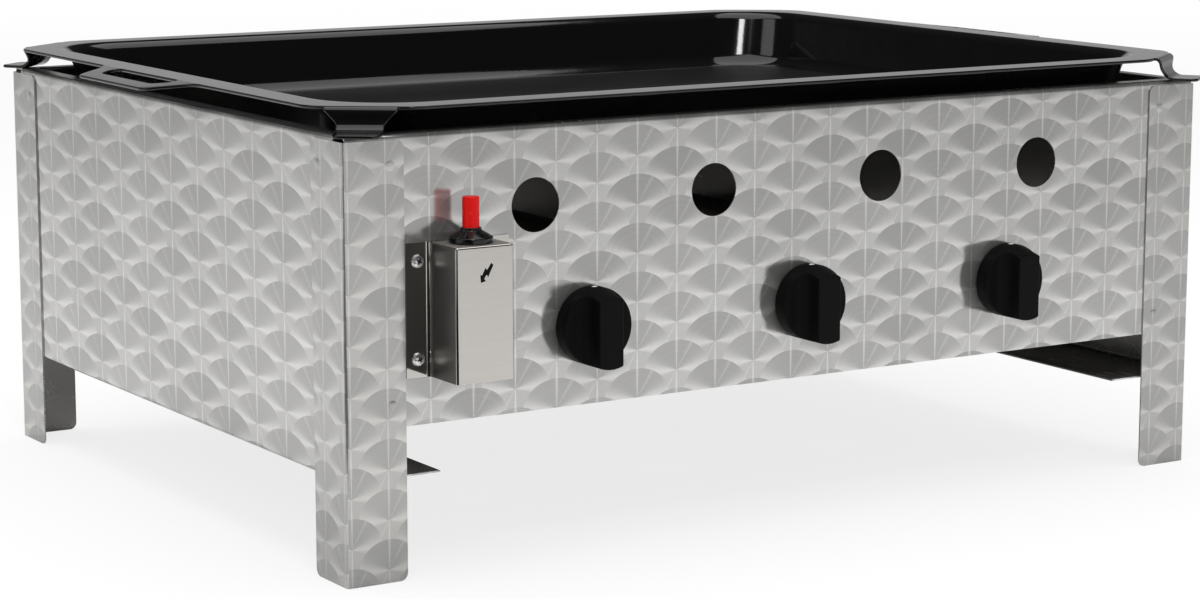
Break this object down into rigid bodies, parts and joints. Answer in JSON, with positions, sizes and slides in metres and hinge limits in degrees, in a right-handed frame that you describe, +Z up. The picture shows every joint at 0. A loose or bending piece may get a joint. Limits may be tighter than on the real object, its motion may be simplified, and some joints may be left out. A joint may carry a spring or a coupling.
{
  "type": "tabletop gas grill",
  "caption": "Tabletop gas grill: sheet steel body on angle legs, lift-off enamelled pan with loop handles, push-and-turn gas taps feeding tube burners, and a push-button igniter.",
  "frame": {"origin": "under the middle of the whole grill's bounding box, on the surface that it stands on", "axes": "+X to the right across the front, +Y to the back, +Z up; the taps face -Y"},
  "size_m": [0.719, 0.5536, 0.281],
  "materials": {
    "engine_turned_steel": "bright stainless sheet, engine-turned all over in overlapping discs, plain on the inside",
    "enamel": "gloss black vitreous enamel over pressed steel, slightly uneven",
    "plain_steel": "plain brushed stainless sheet and tube",
    "zinc_plate": "bright zinc plate on small steel fasteners and spindles",
    "brass": "turned brass, slightly dull",
    "black_plastic": "satin black moulded thermoset",
    "red_plastic": "gloss red moulded plastic",
    "ceramic": "off-white fired ceramic",
    "lead_rubber": "black silicone rubber insulation",
    "spring_steel": "drawn spring wire"
  },
  "bodies": {
    "chassis": {"burner_centre": "plain_steel", "burner_left": "plain_steel", "burner_nuts": "zinc_plate", "burner_right": "plain_steel", "burner_screws": "zinc_plate", "electrode_insulator": "ceramic", "electrode_rod": "plain_steel", "front_burner_rail": "plain_steel", "front_panel": "engine_turned_steel", "gas_inlet_fitting": "brass", "gas_jet_centre": "brass", "gas_jet_left": "brass", "gas_jet_right": "brass", "gas_manifold": "plain_steel", "igniter_body": "black_plastic", "igniter_box": "plain_steel", "igniter_box_nuts": "zinc_plate", "igniter_box_screws": "zinc_plate", "igniter_collar": "black_plastic", "igniter_spring": "spring_steel", "ignition_lead": "lead_rubber", "inlet_lock_nut": "brass", "left_side_panel": "engine_turned_steel", "leg_front_left": "engine_turned_steel", "leg_front_right": "engine_turned_steel", "leg_rear_left": "engine_turned_steel", "leg_rear_right": "engine_turned_steel", "manifold_end_plug": "plain_steel", "panel_rivets": "plain_steel", "piezo_element": "ceramic", "rear_burner_rail": "plain_steel", "rear_panel": "engine_turned_steel", "right_side_panel": "engine_turned_steel", "valve_body_centre": "brass", "valve_body_left": "brass", "valve_body_right": "brass", "valve_cap_centre": "brass", "valve_cap_left": "brass", "valve_cap_right": "brass", "valve_panel_nuts": "zinc_plate"},
    "pan": {"griddle_pan": "enamel"},
    "igniter_plunger": {"igniter_button": "red_plastic"},
    "tap_left": {"valve_plug_left": "brass", "valve_spring_left": "spring_steel"},
    "knob_left": {"knob_left": "black_plastic", "valve_stem_left": "zinc_plate"},
    "tap_centre": {"valve_plug_centre": "brass", "valve_spring_centre": "spring_steel"},
    "knob_centre": {"knob_centre": "black_plastic", "valve_stem_centre": "zinc_plate"},
    "tap_right": {"valve_plug_right": "brass", "valve_spring_right": "spring_steel"},
    "knob_right": {"knob_right": "black_plastic", "valve_stem_right": "zinc_plate"}
  },
  "joints": [
    {"name": "pan_lift", "type": "slide", "parent": "chassis", "child": "pan", "axis": [0, 0, 1], "range_m": [0, 0.12]},
    {"name": "igniter_press", "type": "slide", "parent": "chassis", "child": "igniter_plunger", "axis": [0, 0, -1], "range_m": [0, 0.008], "stiffness_N_per_m": 2000, "deforming": ["igniter_spring"]},
    {"name": "knob_left_turn", "type": "hinge", "parent": "chassis", "child": "tap_left", "pos_m": [-0.1605, -0.24328, 0.142], "axis": [0, -1, 0], "range_deg": [0, 200]},
    {"name": "knob_left_push", "type": "slide", "parent": "tap_left", "child": "knob_left", "axis": [0, 1, 0], "range_m": [0, 0.0025], "stiffness_N_per_m": 2000, "deforming": ["valve_spring_left"]},
    {"name": "knob_centre_turn", "type": "hinge", "parent": "chassis", "child": "tap_centre", "pos_m": [0, -0.24328, 0.142], "axis": [0, -1, 0], "range_deg": [0, 200]},
    {"name": "knob_centre_push", "type": "slide", "parent": "tap_centre", "child": "knob_centre", "axis": [0, 1, 0], "range_m": [0, 0.0025], "stiffness_N_per_m": 2000, "deforming": ["valve_spring_centre"]},
    {"name": "knob_right_turn", "type": "hinge", "parent": "chassis", "child": "tap_right", "pos_m": [0.1605, -0.24328, 0.142], "axis": [0, -1, 0], "range_deg": [0, 200]},
    {"name": "knob_right_push", "type": "slide", "parent": "tap_right", "child": "knob_right", "axis": [0, 1, 0], "range_m": [0, 0.0025], "stiffness_N_per_m": 2000, "deforming": ["valve_spring_right"]}
  ]
}
